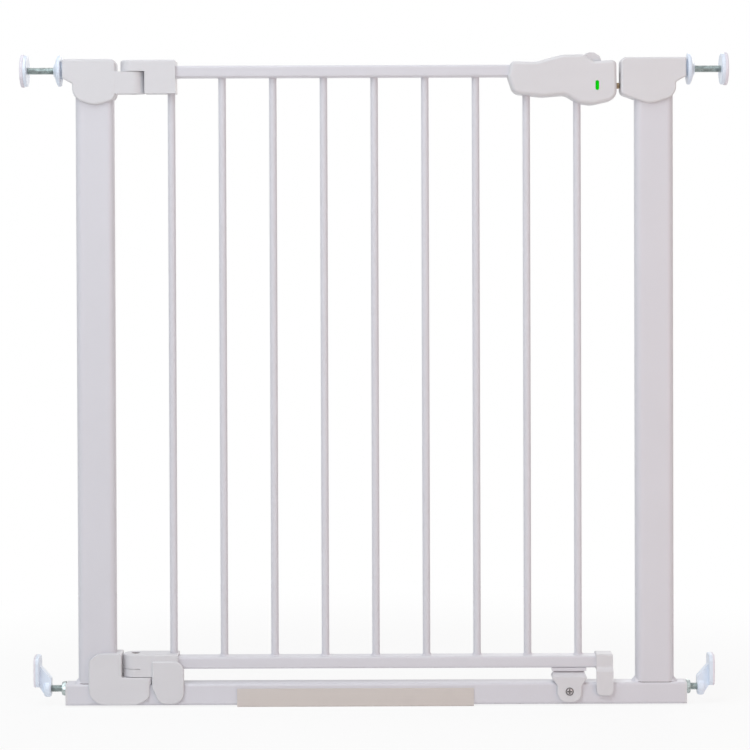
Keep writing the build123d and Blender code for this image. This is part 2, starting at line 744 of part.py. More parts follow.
# Catch block: a saddle over the front of the rail, with a sloped ridge on top
with BuildPart() as catch_block:
    with BuildSketch(front(CATCH_BACK)):
        mirrored = [(-u, z, r) for u, z, r in reversed(CATCH_HALF_CORNERS)]
        rounded_face([(CATCH_X + u, z, r) for u, z, r in CATCH_HALF_CORNERS + mirrored])
    extrude(amount=CATCH_BACK - CATCH_FRONT)
    fillet(catch_block.faces().sort_by(Axis.Y)[0].edges(), CATCH_EDGE)
    catch_reach = CATCH_EAR + OVERCUT
    with BuildSketch(across(CATCH_X - catch_reach)):
        Polygon(*CATCH_RIDGE_CORNERS, align=None)
    extrude(amount=2 * catch_reach, mode=Mode.INTERSECT)
    cut_rail(CATCH_X - catch_reach, CATCH_X + catch_reach)
    outside = (CATCH_X, CATCH_FRONT - OVERCUT, SCREW_Z)
    round_bar(outside, (CATCH_X, SCREW_TIP, SCREW_Z), SCREW_SHANK + SHAFT_GAP, Mode.SUBTRACT)
    seat = (CATCH_X, CATCH_FRONT + SCREW_SEAT, SCREW_Z)
    round_bar(outside, seat, SCREW_HEAD + 2 * FIT_GAP, Mode.SUBTRACT)
save(catch_block, "catch_block")

with BuildPart() as catch_screw:
    head_front = CATCH_FRONT - SCREW_PROUD
    head_back = CATCH_FRONT + SCREW_SEAT
    round_bar((CATCH_X, head_back, SCREW_Z), (CATCH_X, head_front, SCREW_Z), SCREW_HEAD)
    fillet(catch_screw.faces().sort_by(Axis.Y)[0].edges(), SCREW_EDGE)
    round_bar((CATCH_X, SCREW_TIP, SCREW_Z), (CATCH_X, head_back, SCREW_Z), SCREW_SHANK)
    recess = (head_front - OVERCUT, head_front + CROSS_DEEP)
    for wide, tall in ((CROSS_HALF, CROSS_WIDTH_HALF), (CROSS_WIDTH_HALF, CROSS_HALF)):
        width = (CATCH_X - wide, CATCH_X + wide)
        block(width, recess, (SCREW_Z - tall, SCREW_Z + tall), Mode.SUBTRACT)
save(catch_screw, "catch_screw")

# Strip: a channel clipped under the rail, which carries the gate on the floor
with BuildPart() as threshold_strip:
    with BuildSketch(across(STRIP_LEFT)):
        rounded_face(STRIP_CORNERS)
        rail_section(FIT_GAP, Mode.SUBTRACT)
    extrude(amount=STRIP_RIGHT - STRIP_LEFT)
save(threshold_strip, "threshold_strip")

# Bush: turns inside the hinge block and slides up on the pin
with BuildPart() as hinge_bush:
    round_bar((HINGE_X, 0, BUSH_LOW), (HINGE_X, 0, BUSH_TOP), BUSH_RADIUS)
    flange_top = (HINGE_X, 0, BUSH_LOW + BUSH_FLANGE_THICK)
    round_bar((HINGE_X, 0, BUSH_LOW), flange_top, BUSH_FLANGE)
    bush_end = (HINGE_X, 0, BUSH_TOP + OVERCUT)
    round_bar((HINGE_X, 0, BUSH_LOW - OVERCUT), bush_end, HINGE_PIN + SHAFT_GAP, Mode.SUBTRACT)
save(hinge_bush, "hinge_bush")

# Door grid
with BuildPart() as door_top_rail:
    door_rail(DOOR_RAIL_LEFT, TOP_RAIL_RIGHT, TOP_RAIL_LOW)
save(door_top_rail, "door_top_rail")

with BuildPart() as door_bottom_rail:
    door_rail(DOOR_RAIL_LEFT, BOTTOM_RAIL_RIGHT, BOTTOM_RAIL_LOW)
save(door_bottom_rail, "door_bottom_rail")

for number in range(1, BAR_COUNT + 1):
    with BuildPart() as door_bar:
        with BuildSketch(Plane.XY.offset(BOTTOM_RAIL_LOW + DOOR_RAIL_HEIGHT)):
            with Locations((bar_x(number), 0)):
                Circle(BAR_RADIUS)
                Circle(BAR_RADIUS - BAR_WALL, mode=Mode.SUBTRACT)
        extrude(amount=TOP_RAIL_LOW - BOTTOM_RAIL_LOW - DOOR_RAIL_HEIGHT)
    save(door_bar, f"door_bar_{number}")

# Upper hinge leaf: an arm over the knuckle, and a block that holds the rail and a bar
with BuildPart() as upper_door_hinge:
    with BuildSketch(Plane.XY.offset(KNUCKLE_LOW)):
        hinge_plan(HINGE_RADIUS, HINGE_END)
    extrude(amount=UPPER_HINGE_TOP - KNUCKLE_LOW)
    fillet(upper_door_hinge.faces().sort_by(Axis.Z)[-1].edges(), LEAF_EDGE)
    knuckle_room = (HINGE_X - HINGE_RADIUS - OVERCUT, HINGE_X + HINGE_RADIUS)
    leaf_depth = (-HINGE_RADIUS - OVERCUT, HINGE_RADIUS + OVERCUT)
    block(knuckle_room, leaf_depth, (KNUCKLE_LOW - OVERCUT, KNUCKLE_TOP + FACE_GAP), Mode.SUBTRACT)
    cut_door_rail(DOOR_RAIL_LEFT - FIT_GAP, HINGE_END + OVERCUT, TOP_RAIL_LOW)
    cut_bar(1, KNUCKLE_LOW - OVERCUT, TOP_RAIL_LOW)
    pin_end = (HINGE_X, 0, UPPER_PIN_TOP)
    round_bar((HINGE_X, 0, KNUCKLE_LOW), pin_end, HINGE_PIN + PRESS_GAP, Mode.SUBTRACT)
save(upper_door_hinge, "upper_door_hinge")

with BuildPart() as upper_hinge_pin:
    round_bar((HINGE_X, 0, UPPER_PIN_LOW), (HINGE_X, 0, UPPER_PIN_TOP), HINGE_PIN)
    chamfer(upper_hinge_pin.edges().sort_by(Axis.Z)[0], PIN_CHAMFER)
save(upper_hinge_pin, "upper_hinge_pin")

# Lower hinge block, with its paddle in front of the rail
with BuildPart() as lower_door_hinge:
    with BuildSketch(Plane.XY.offset(BLOCK_LOW)):
        hinge_plan(HINGE_RADIUS, HINGE_END)
    extrude(amount=BLOCK_TOP - BLOCK_LOW)
    fillet(lower_door_hinge.faces().sort_by(Axis.Z)[-1].edges(), BLOCK_EDGE)
    with BuildSketch(front(PADDLE_BACK)):
        rounded_face(PADDLE_CORNERS)
    extrude(amount=PADDLE_BACK - PADDLE_FRONT)
    fillet(lower_door_hinge.faces().sort_by(Axis.Y)[0].edges(), PADDLE_EDGE)
    # Slit round the turning end
    slit_height = (BLOCK_SLIT_Z - BLOCK_SLIT / 2, BLOCK_SLIT_Z + BLOCK_SLIT / 2)
    slit_low = (HINGE_X, 0, slit_height[0])
    slit_high = (HINGE_X, 0, slit_height[1])
    with BuildPart(mode=Mode.PRIVATE) as slit:
        round_bar(slit_low, slit_high, HINGE_RADIUS + OVERCUT)
        round_bar(slit_low, slit_high, HINGE_RADIUS - BLOCK_SLIT_DEEP, Mode.SUBTRACT)
        right = (HINGE_X + BUSH_RADIUS, HINGE_X + HINGE_RADIUS + OVERCUT)
        block(right, (-2 * HINGE_RADIUS, 2 * HINGE_RADIUS), slit_height, Mode.SUBTRACT)
    add(slit.part, mode=Mode.SUBTRACT)
    cut_door_rail(DOOR_RAIL_LEFT - FIT_GAP, HINGE_END + OVERCUT, BOTTOM_RAIL_LOW)
    cut_bar(1, BOTTOM_RAIL_LOW + DOOR_RAIL_HEIGHT, BLOCK_TOP + OVERCUT)
    below = (HINGE_X, 0, BLOCK_LOW - OVERCUT)
    above = (HINGE_X, 0, BLOCK_TOP + OVERCUT)
    round_bar(below, above, BLOCK_HOLE, Mode.SUBTRACT)
    bush_room = (HINGE_X, 0, BUSH_TOP + FACE_GAP)
    round_bar(below, bush_room, BUSH_RADIUS + SHAFT_GAP, Mode.SUBTRACT)
    flange_room = (HINGE_X, 0, BUSH_LOW + BUSH_FLANGE_THICK + BUSH_PLAY)
    round_bar(below, flange_room, BUSH_FLANGE + BUSH_PLAY, Mode.SUBTRACT)
save(lower_door_hinge, "lower_door_hinge")

# Hook cap: a sleeve on the rail's end, and a tongue that steps out in front of the rail
with BuildPart() as door_stop_hook:
    with BuildSketch(across(HOOK_LEFT)):
        rounded_face(HOOK_SIDE_CORNERS)
    extrude(amount=HOOK_RIGHT - HOOK_LEFT)
    with BuildSketch(front(DOOR_DEPTH)):
        rounded_face(HOOK_FACE_CORNERS)
    extrude(amount=3 * DOOR_DEPTH, mode=Mode.INTERSECT)
    cut_door_rail(HOOK_LEFT - OVERCUT, BOTTOM_RAIL_RIGHT + FIT_GAP, BOTTOM_RAIL_LOW)
save(door_stop_hook, "door_stop_hook")

with BuildPart() as catch_tab:
    tab_width = (CATCH_X - TAB_HALF, CATCH_X + TAB_HALF)
    block(tab_width, TAB_DEPTH, (TAB_LOW + TAB_THICK, BOTTOM_RAIL_LOW))
    block(tab_width, TAB_LIP, (TAB_LOW, TAB_LOW + TAB_THICK))
save(catch_tab, "catch_tab")

# Handle
save(make_handle_shell(-1), "handle_front_shell")
save(make_handle_shell(1), "handle_back_shell")

with BuildPart() as handle_screws:
    for x, z in HANDLE_SCREWS:
        seat = (x, HANDLE_SCREW_SEAT, z)
        round_bar((x, SCREW_TIP, z), seat, HANDLE_SCREW)
        round_bar(seat, (x, HANDLE_SCREW_END, z), HANDLE_SCREW_HEAD)
save(handle_screws, "handle_screws")

# Latch: slider, carriage, bolt and green flag move as one
with BuildPart() as thumb_slider:
    with BuildSketch(front(SLIDER_HALF)):
        rounded_face(SLIDER_CORNERS)
    extrude(amount=2 * SLIDER_HALF)
    sides = thumb_slider.faces().sort_by(Axis.Y)
    fillet(sides[0].edges() + sides[-1].edges(), SLIDER_EDGE)
    block(SLIDER_STEM, (-SLIDER_STEM_HALF, SLIDER_STEM_HALF), (CARRIAGE_TOP, SLIDER_LOW + SLIDER_EDGE))
save(thumb_slider, "thumb_slider")

with BuildPart() as latch_carriage:
    carriage_depth = (-CARRIAGE_HALF, CARRIAGE_HALF)
    block((CARRIAGE_LEFT, CARRIAGE_RIGHT), carriage_depth, (CARRIAGE_LOW, CARRIAGE_TOP))
    flag_back = FLAG_FRONT + FLAG_THICK
    arm_width = (WINDOW_X - FLAG_HALF, WINDOW_X)
    block(arm_width, (flag_back, 0), (WINDOW_Z - FLAG_HALF / 2, WINDOW_Z + FLAG_HALF / 2))
    bolt_seat = (CARRIAGE_LEFT + 1, 0, BOLT_Z)
    bolt_way = (CARRIAGE_RIGHT + OVERCUT, 0, BOLT_Z)
    round_bar(bolt_seat, bolt_way, BOLT_RADIUS + PRESS_GAP, Mode.SUBTRACT)
    spring_end = (CARRIAGE_LEFT - LATCH_BACK + SPRING_LENGTH, 0, SPRING_Z)
    spring_way = (CARRIAGE_LEFT - OVERCUT, 0, SPRING_Z)
    round_bar(spring_way, spring_end, SPRING_RADIUS + SPRING_POCKET, Mode.SUBTRACT)
save(latch_carriage, "latch_carriage")

with BuildPart() as latch_bolt:
    round_bar((CARRIAGE_LEFT + 1, 0, BOLT_Z), (BOLT_TIP, 0, BOLT_Z), BOLT_RADIUS)
    chamfer(latch_bolt.edges().sort_by(Axis.X)[-1], PIN_CHAMFER)
save(latch_bolt, "latch_bolt")

with BuildPart() as indicator_flag:
    flag_width = (WINDOW_X - LATCH_OUT - FLAG_GAP / 2, FLAG_RIGHT)
    flag_height = (WINDOW_Z - FLAG_HALF, WINDOW_Z + FLAG_HALF)
    block(flag_width, (FLAG_FRONT, FLAG_FRONT + FLAG_THICK), flag_height)
save(indicator_flag, "indicator_flag")

with BuildPart() as latch_spring:
    spring_start = CARRIAGE_LEFT - LATCH_BACK + SPRING_WIRE
    spring_length = SPRING_LENGTH - 2 * SPRING_WIRE
    with BuildLine() as coil:
        Helix(
            spring_length / SPRING_TURNS,
            spring_length,
            SPRING_RADIUS,
            center=(spring_start, 0, SPRING_Z),
            direction=(1, 0, 0),
        )
    with BuildSketch(Plane(origin=coil.line @ 0, z_dir=coil.line % 0)):
        Circle(SPRING_WIRE)
    sweep(path=coil.line, is_frenet=True)
save(latch_spring, "latch_spring")

# Adjusters
for side, word in ((LEFT, "left"), (RIGHT, "right")):
    save(make_upper_spindle(side), f"upper_{word}_spindle")
    save(make_wheel(side), f"upper_{word}_wheel")
    save(make_pad_cup(side), f"upper_{word}_pad_cup")
    save(make_wall_pad(side), f"upper_{word}_wall_pad")
    save(make_lower_spindle(side), f"lower_{word}_spindle")
    save(make_nut(side), f"lower_{word}_nut")
    save(make_foot(side), f"lower_{word}_foot")
    save(make_foot_pad(side), f"lower_{word}_foot_pad")
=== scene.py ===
import json
import math

import bmesh
import bpy
import numpy as np
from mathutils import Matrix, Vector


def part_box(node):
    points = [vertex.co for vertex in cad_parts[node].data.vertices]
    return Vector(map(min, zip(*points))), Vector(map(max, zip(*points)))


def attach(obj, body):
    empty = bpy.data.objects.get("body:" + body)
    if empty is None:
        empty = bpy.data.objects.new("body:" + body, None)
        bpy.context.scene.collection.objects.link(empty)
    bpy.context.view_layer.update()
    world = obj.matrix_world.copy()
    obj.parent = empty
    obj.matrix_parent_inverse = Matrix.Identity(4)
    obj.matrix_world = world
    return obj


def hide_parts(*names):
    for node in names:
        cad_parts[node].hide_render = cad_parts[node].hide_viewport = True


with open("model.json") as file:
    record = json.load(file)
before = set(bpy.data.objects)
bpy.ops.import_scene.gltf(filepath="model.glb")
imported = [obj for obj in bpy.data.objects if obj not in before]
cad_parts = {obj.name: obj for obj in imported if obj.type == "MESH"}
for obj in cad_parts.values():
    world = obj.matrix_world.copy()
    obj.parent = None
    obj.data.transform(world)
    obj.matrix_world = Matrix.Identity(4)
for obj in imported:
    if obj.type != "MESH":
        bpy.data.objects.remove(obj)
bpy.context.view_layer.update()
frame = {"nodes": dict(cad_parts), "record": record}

bl_info = {
    "name": "Doorway Gate",
    "version": (1, 0, 0),
    "blender": (4, 5, 0),
    "location": "View3D > Sidebar > Gate",
    "description": "Finishes and small details of a pressure-fit gate for a doorway",
    "category": "Object",
}

TURN = 2 * math.pi
SIDES = (("left", -1), ("right", 1))
SHARP_ANGLE = math.radians(32)
MERGE_DISTANCE = 1e-7

# Bars whose welds show, by number. Bar 1 ends in the hinges, and bars 8 and 9 in the handle at the top
LOWER_WELDS = range(2, 10)
UPPER_WELDS = range(2, 8)

# Corner radius of the post tubes
POST_CORNER = 0.0075

# Welds: how far a bead sinks into what carries it, how long a ripple is and how hollow the section is
BAR_SINK = 0.0001
BAR_RIPPLE = 0.0031
BAR_HOLLOW = 3.5
POST_SINK = 0.0004
POST_RIPPLE = 0.0042
POST_HOLLOW = 1.9

# Painted shade in the seam under a post: how high it reaches, and the height and depths over which it fades
SEAM_TOP = 0.0012
SEAM_FADE = 0.0008
SEAM_DEPTHS = (0.0085, 0.0098)

# Small screws: height on the brackets, and width and height on the back of the handle
BRACKET_SCREW_Z = 0.684
HANDLE_SCREWS = ((0.158, 0.6855), (0.197, 0.686), (0.246, 0.6725))

# Heights of the screw heads, and how deep those at the back sit, as shares of the rise
BRACKET_RISE = 1 / 2
HANDLE_RISE = 1 / 3
CATCH_RISE = 1.4
HEAD_SINK = 1 / 4

# Lamps: the stage setting that holds the power, then place, side length and colour
LAMPS = (
    ("key", (-1.1, -1.9, 1.6), 1.5, (0.86, 0.95, 1.0)),
    ("fill", (1.2, -1.3, 0.15), 1.0, (1.0, 0.68, 0.55)),
    ("top", (-0.3, -0.85, 2.4), 1.6, (0.93, 0.97, 1.0)),
    ("back", (0.9, 2.3, 1.6), 1.6, (1.0, 0.98, 0.96)),
)
LAMP_TARGET = (0, 0, 0.36)

# Surroundings and floor. Close to the gate the camera sees the floor as this share of plain white
WHITE = (1.0, 1.0, 1.0, 1.0)
AMBIENT_COLOUR = (1.0, 0.94, 0.905, 1.0)
FLOOR_COLOURS = ((0.9, 0.9, 0.9, 1.0), (0.88, 0.88, 0.88, 1.0))
FLOOR_HALF = 6.0
NEAR_WHITE = 0.86
FADE_START = 0.35
FADE_END = 0.9
SEEN_RAYS = ("Is Camera Ray", "Is Glossy Ray", "Is Transmission Ray")

# What the record calls each finish
PAINT = "white_paint"
PLASTIC = "white_plastic"
COOL_PLASTIC = "clear_white_plastic"
RUBBER = "pale_rubber"
ZINC = "zinc_steel"
BROWNED = "browned_steel"
STRIP = "beige_plastic"
GREEN = "green_plastic"
NYLON = "nylon"


def srgb(red, green, blue):
    """Linear colour of an 8-bit screen colour."""
    share = np.array((red, green, blue)) / 255
    bent = np.where(share <= 0.04045, share / 12.92, ((share + 0.055) / 1.055) ** 2.4)
    return tuple(float(value) for value in bent)


def opaque(colour, share=1.0):
    """Colour with full cover, darkened or lightened to a share of itself."""
    return (*(min(1.0, channel * share) for channel in colour), 1.0)


class GateColours(bpy.types.PropertyGroup):
    """Colours of the gate's finishes."""

    paint: bpy.props.FloatVectorProperty(
        name="Paint",
        description="Powder coat on the steel tubes",
        subtype="COLOR",
        default=srgb(221, 220, 227),
    )
    plastic: bpy.props.FloatVectorProperty(
        name="Plastic",
        description="Satin mouldings",
        subtype="COLOR",
        default=srgb(222, 221, 225),
    )
    cool_plastic: bpy.props.FloatVectorProperty(
        name="Cool plastic",
        description="Wheels, cups and feet",
        subtype="COLOR",
        default=srgb(231, 241, 255),
    )
    rubber: bpy.props.FloatVectorProperty(
        name="Rubber",
        description="Wall pads",
        subtype="COLOR",
        default=srgb(238, 235, 244),
    )
    zinc: bpy.props.FloatVectorProperty(
        name="Zinc",
        description="Plated steel",
        subtype="COLOR",
        default=srgb(183, 193, 192),
    )
    screw: bpy.props.FloatVectorProperty(
        name="Screw",
        description="Dull plate of the catch screw",
        subtype="COLOR",
        default=srgb(196, 190, 192),
    )
    # Hinge pin colour, dark as painted shade for the hole that it sits in
    browned: bpy.props.FloatVectorProperty(
        name="Browned",
        description="Hinge pin",
        subtype="COLOR",
        default=srgb(70, 34, 24),
    )
    worn: bpy.props.FloatVectorProperty(
        name="Worn",
        description="Latch bolt, where its browning is worn",
        subtype="COLOR",
        default=srgb(200, 172, 138),
    )
    # Colour of the painted shade in the seam under a post
    seam: bpy.props.FloatVectorProperty(
        name="Seam",
        description="Dirt in the seam under a post",
        subtype="COLOR",
        default=srgb(128, 118, 124),
    )
    strip: bpy.props.FloatVectorProperty(
        name="Strip",
        description="Strip under the rail",
        subtype="COLOR",
        default=srgb(214, 207, 203),
    )
    green: bpy.props.FloatVectorProperty(
        name="Green",
        description="Flag that shows a closed latch",
        subtype="COLOR",
        default=srgb(2, 216, 8),
    )
    nylon: bpy.props.FloatVectorProperty(
        name="Nylon",
        description="Bush and carriage",
        subtype="COLOR",
        default=srgb(226, 222, 212),
    )


class GateSizes(bpy.types.PropertyGroup):
    """Sizes of the small details."""

    thread_pitch: bpy.props.FloatProperty(
        name="Thread pitch",
        description="Advance of a screw in one turn",
        unit="LENGTH",
        default=0.00125,
    )
    thread_depth: bpy.props.FloatProperty(
        name="Thread depth",
        description="Crest to root of a thread",
        unit="LENGTH",
        default=0.00068,
    )
    bar_bead: bpy.props.FloatProperty(
        name="Bar bead",
        description="Size of the weld at the end of a bar",
        unit="LENGTH",
        default=0.0024,
    )
    post_bead: bpy.props.FloatProperty(
        name="Post bead",
        description="Size of the weld at the side of a post",
        unit="LENGTH",
        default=0.0044,
    )
    wheel_grips: bpy.props.IntProperty(
        name="Wheel grips",
        description="Shallow grips round the rim of a hand wheel",
        default=36,
    )
    screw_head: bpy.props.FloatProperty(
        name="Screw head",
        description="Radius of the larger screw heads",
        unit="LENGTH",
        default=0.0043,
    )
    small_head: bpy.props.FloatProperty(
        name="Small head",
        description="Radius of the heads on the handle",
        unit="LENGTH",
        default=0.0029,
    )
    head_rise: bpy.props.FloatProperty(
        name="Head rise",
        description="Height of which each screw head takes a share",
        unit="LENGTH",
        default=0.0011,
    )


class GateStage(bpy.types.PropertyGroup):
    """Camera and light."""

    distance: bpy.props.FloatProperty(
        name="Distance",
        description="From the camera to the gate",
        unit="LENGTH",
        default=2.6,
    )
    height: bpy.props.FloatProperty(
        name="Height",
        description="Camera above the floor",
        unit="LENGTH",
        default=0.52,
    )
    aside: bpy.props.FloatProperty(
        name="Aside",
        description="Camera to the right of the middle",
        unit="LENGTH",
        default=0.0004,
    )
    lens: bpy.props.FloatProperty(
        name="Lens",
        description="Focal length in millimetres",
        unit="CAMERA",
        default=112.45,
    )
    drop: bpy.props.FloatProperty(
        name="Drop",
        description="Lens shift as a share of the picture, negative for down",
        default=-0.14,
    )
    tilt: bpy.props.FloatProperty(
        name="Tilt",
        description="How far the camera looks down",
        subtype="ANGLE",
        default=0.01414,
    )
    roll: bpy.props.FloatProperty(
        name="Roll",
        description="Lean of the camera to its right",
        subtype="ANGLE",
        default=0.0035,
    )
    ambient: bpy.props.FloatProperty(
        name="Ambient",
        description="Strength of the light from all round",
        default=0.34,
    )
    key: bpy.props.FloatProperty(
        name="Key",
        description="Power of the lamp at the left",
        unit="POWER",
        default=18.0,
    )
    fill: bpy.props.FloatProperty(
        name="Fill",
        description="Power of the lamp at the right",
        unit="POWER",
        default=7.0,
    )
    top: bpy.props.FloatProperty(
        name="Top",
        description="Power of the lamp above",
        unit="POWER",
        default=21.0,
    )
    back: bpy.props.FloatProperty(
        name="Back",
        description="Power of the lamp behind",
        unit="POWER",
        default=17.0,
    )


class Wire:
    """Value in a node tree. Arithmetic on it adds Math nodes."""

    def __init__(self, tree, socket=None):
        self.tree = tree
        self.socket = socket

    def node(self, kind, settings=None, inputs=None, output=0):
        """Add any node: settings first, then each input takes a number, a colour or a wire."""
        made = self.tree.nodes.new(kind)
        for name, value in (settings or {}).items():
            setattr(made, name, value)
        for name, value in (inputs or {}).items():
            if isinstance(value, Wire):
                self.tree.links.new(value.socket, made.inputs[name])
            else:
                made.inputs[name].default_value = value
        return Wire(self.tree, made.outputs[output])

    def math(self, operation, first, second):
        """Math node on two values."""
        return self.node("ShaderNodeMath", {"operation": operation}, {0: first, 1: second})

    def __add__(self, other):
        return self.math("ADD", self, other)

    __radd__ = __add__

    def __sub__(self, other):
        return self.math("SUBTRACT", self, other)

    def __rsub__(self, other):
        return self.math("SUBTRACT", other, self)

    def __mul__(self, other):
        return self.math("MULTIPLY", self, other)

    __rmul__ = __mul__

    def larger(self, other):
        """The larger of two values."""
        return self.math("MAXIMUM", self, other)

    def smaller(self, other):
        """The smaller of two values."""
        return self.math("MINIMUM", self, other)

    def size(self):
        """The value without its sign."""
        return self.larger(0.0 - self)

    def root(self):
        """Square root of the value."""
        return self.math("POWER", self, 0.5)

    def axis(self, name):
        """X, Y or Z of a place."""
        return self.node("ShaderNodeSeparateXYZ", inputs={0: self}, output=name)

    def noise(self, scale, detail=2.0, stretch=(1.0, 1.0, 1.0)):
        """Soft random value from 0 to 1, at points of this place."""
        where = self.node("ShaderNodeMapping", inputs={"Vector": self, "Scale": stretch})
        return self.node("ShaderNodeTexNoise", inputs={"Vector": where, "Scale": scale, "Detail": detail})

    def ramp(self, zero_at, one_at):
        """Smooth step that is 0 at one value and 1 at another, whichever of them is larger."""
        settings = {"interpolation_type": "SMOOTHSTEP"}
        inputs = {"Value": self, "From Min": zero_at, "From Max": one_at}
        return self.node("ShaderNodeMapRange", settings, inputs)

    def blend(self, first, second):
        """Colour between two colours, with this value as the share of the second."""
        return self.node("ShaderNodeMix", {"data_type": "RGBA"}, {0: self, 6: first, 7: second}, output=2)

    def shade(self, colour, low, high):
        """One colour times a share that goes from low to high with this value."""
        return self.blend(opaque(colour, low), opaque(colour, high))

    def bump(self, strength, distance):
        """Normal of a surface that this height disturbs."""
        inputs = {"Height": self, "Strength": strength, "Distance": distance}
        return self.node("ShaderNodeBump", inputs=inputs)

    def feed(self, target, socket):
        """Lead this value to a socket of another node."""
        self.tree.links.new(self.socket, target.inputs[socket])


def new_finish(name):
    """Material with one shader, and the wire of its place on the object."""
    material = bpy.data.materials.new(name)
    material.use_nodes = True
    tree = material.node_tree
    place = Wire(tree).node("ShaderNodeTexCoord", output="Object")
    return material, tree.nodes["Principled BSDF"], place


def paint_finish(colours):
    """Powder coat: a soft orange-peel skin, with faint cloudy patches."""
    material, shader, place = new_finish("powder_coat")
    cloud = place.noise(scale=9.0, detail=3.0)
    cloud.shade(colours.paint, low=1.0, high=0.955).feed(shader, "Base Color")
    (0.34 + 0.10 * place.noise(scale=60.0)).feed(shader, "Roughness")
    place.noise(scale=520.0).bump(strength=0.14, distance=0.0006).feed(shader, "Normal")
    shader.inputs["Specular IOR Level"].default_value = 0.42
    return material


def plastic_finish(colours):
    """Satin moulding: fine spark-eroded grain, and faint flow marks."""
    material, shader, place = new_finish("satin_moulding")
    flow = place.noise(scale=26.0, detail=4.0, stretch=(1.0, 1.0, 2.4))
    flow.shade(colours.plastic, low=1.0, high=0.95).feed(shader, "Base Color")
    (0.40 + 0.12 * flow).feed(shader, "Roughness")
    place.noise(scale=2600.0, detail=1.0).bump(strength=0.10, distance=0.0003).feed(shader, "Normal")
    shader.inputs["Specular IOR Level"].default_value = 0.4
    return material


def cool_plastic_finish(colours):
    """Bright moulding: a semi-gloss skin under a thin coat, with faint flow marks."""
    material, shader, place = new_finish("bright_moulding")
    flow = place.noise(scale=70.0, detail=3.0)
    flow.shade(colours.cool_plastic, low=1.0, high=0.96).feed(shader, "Base Color")
    (0.26 + 0.12 * place.noise(scale=140.0)).feed(shader, "Roughness")
    place.noise(scale=1500.0, detail=1.0).bump(strength=0.06, distance=0.0003).feed(shader, "Normal")
    shader.inputs["Coat Weight"].default_value = 0.15
    shader.inputs["Coat Roughness"].default_value = 0.25
    return material


def rubber_finish(colours):
    """Pale rubber: dull, with a dusty bloom and a fine pebble."""
    material, shader, place = new_finish("pale_rubber_skin")
    bloom = place.noise(scale=120.0, detail=4.0)
    bloom.shade(colours.rubber, low=0.94, high=1.0).feed(shader, "Base Color")
    (0.66 + 0.2 * bloom).feed(shader, "Roughness")
    place.noise(scale=1900.0).bump(strength=0.2, distance=0.0004).feed(shader, "Normal")
    return material


def zinc_finish(colours):
    """Bright zinc plate with a passivated skin and darker spots."""
    material, shader, place = new_finish("zinc_plate")
    tarnish = place.noise(scale=240.0, detail=5.0).ramp(zero_at=0.35, one_at=0.7)
    tarnish.shade(colours.zinc, low=1.0, high=0.64).feed(shader, "Base Color")
    (0.26 + 0.22 * tarnish).feed(shader, "Roughness")
    place.noise(scale=1400.0).bump(strength=0.08, distance=0.0003).feed(shader, "Normal")
    shader.inputs["Metallic"].default_value = 0.85
    return material


def catch_screw_finish(colours, centre, radius):
    """Dull plate with painted shade in a ring at the rim of the head and in the arms of its cross: from the
    middle, the ring is a smooth step, and an arm is where the smaller of width and height is little."""
    material, shader, place = new_finish("dull_plate")
    across = place.axis("X") - centre.x
    height = place.axis("Z") - centre.z
    from_middle = (across * across + height * height).root()
    rim = from_middle.ramp(zero_at=0.66 * radius, one_at=0.84 * radius)
    arm = across.size().smaller(height.size()).ramp(zero_at=0.2 * radius, one_at=0.12 * radius)
    cross = arm * from_middle.ramp(zero_at=0.68 * radius, one_at=0.6 * radius)
    # Painted shade: the rim ring and the cross darken towards about a fifth of the plate colour
    painted_shade = rim.larger(cross) * (0.75 + 0.25 * place.noise(scale=900.0))
    painted_shade.shade(colours.screw, low=1.0, high=0.22).feed(shader, "Base Color")
    (0.34 + 0.3 * painted_shade).feed(shader, "Roughness")
    place.noise(scale=1400.0).bump(strength=0.08, distance=0.0003).feed(shader, "Normal")
    shader.inputs["Metallic"].default_value = 0.6
    return material


def browned_finish(colours):
    """Browned and oiled steel, a little mottled: painted shade makes it darker low down, at the hinge pin
    in its hole, and it is lighter high up at the latch bolt.
    """
    material, shader, place = new_finish("browned_and_oiled")
    mottle = place.noise(scale=420.0, detail=4.0)
    # Painted shade: 0 low down, where the pin in its hole takes the darker colour, rising to 1 at the bolt
    above_pin_shade = place.axis("Z").ramp(zero_at=0.2, one_at=0.5)
    fresh = above_pin_shade.blend(opaque(colours.browned), opaque(colours.worn))
    stained = above_pin_shade.blend(opaque(colours.browned, share=0.6), opaque(colours.worn, share=0.6))
    mottle.blend(fresh, stained).feed(shader, "Base Color")
    (0.38 + 0.2 * mottle).feed(shader, "Roughness")
    place.noise(scale=1700.0).bump(strength=0.08, distance=0.0003).feed(shader, "Normal")
    shader.inputs["Metallic"].default_value = 0.35
    return material


def seam_shade_finish(colours):
    """Powder coat on a weld, with a line of painted shade along the foot of its front."""
    material, shader, place = new_finish("coated_weld")
    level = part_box("bottom_rail")[1].z
    low = (level + SEAM_TOP - place.axis("Z")).ramp(zero_at=0.0, one_at=SEAM_FADE)
    ahead = (0.0 - place.axis("Y")).ramp(*SEAM_DEPTHS)
    # Painted shade: darker low down at the front of the weld, a little uneven
    painted_shade = low * ahead * (0.7 + 0.3 * place.noise(scale=90.0))
    painted_shade.blend(opaque(colours.paint), opaque(colours.seam)).feed(shader, "Base Color")
    (0.36 + 0.3 * painted_shade).feed(shader, "Roughness")
    place.noise(scale=520.0).bump(strength=0.14, distance=0.0006).feed(shader, "Normal")
    return material


def strip_finish(colours):
    """Extruded strip: matt, with fine lines along its length and a few scuffs."""
    material, shader, place = new_finish("extruded_strip")
    lines = place.noise(scale=420.0, detail=3.0, stretch=(0.02, 1.0, 1.0))
    scuff = place.noise(scale=38.0, detail=5.0).ramp(zero_at=0.55, one_at=0.75)
    tone = 0.6 * lines + 0.4 * scuff
    tone.shade(colours.strip, low=1.0, high=0.93).feed(shader, "Base Color")
    (0.52 + 0.16 * scuff).feed(shader, "Roughness")
    lines.bump(strength=0.16, distance=0.0004).feed(shader, "Normal")
    shader.inputs["Specular IOR Level"].default_value = 0.35
    return material


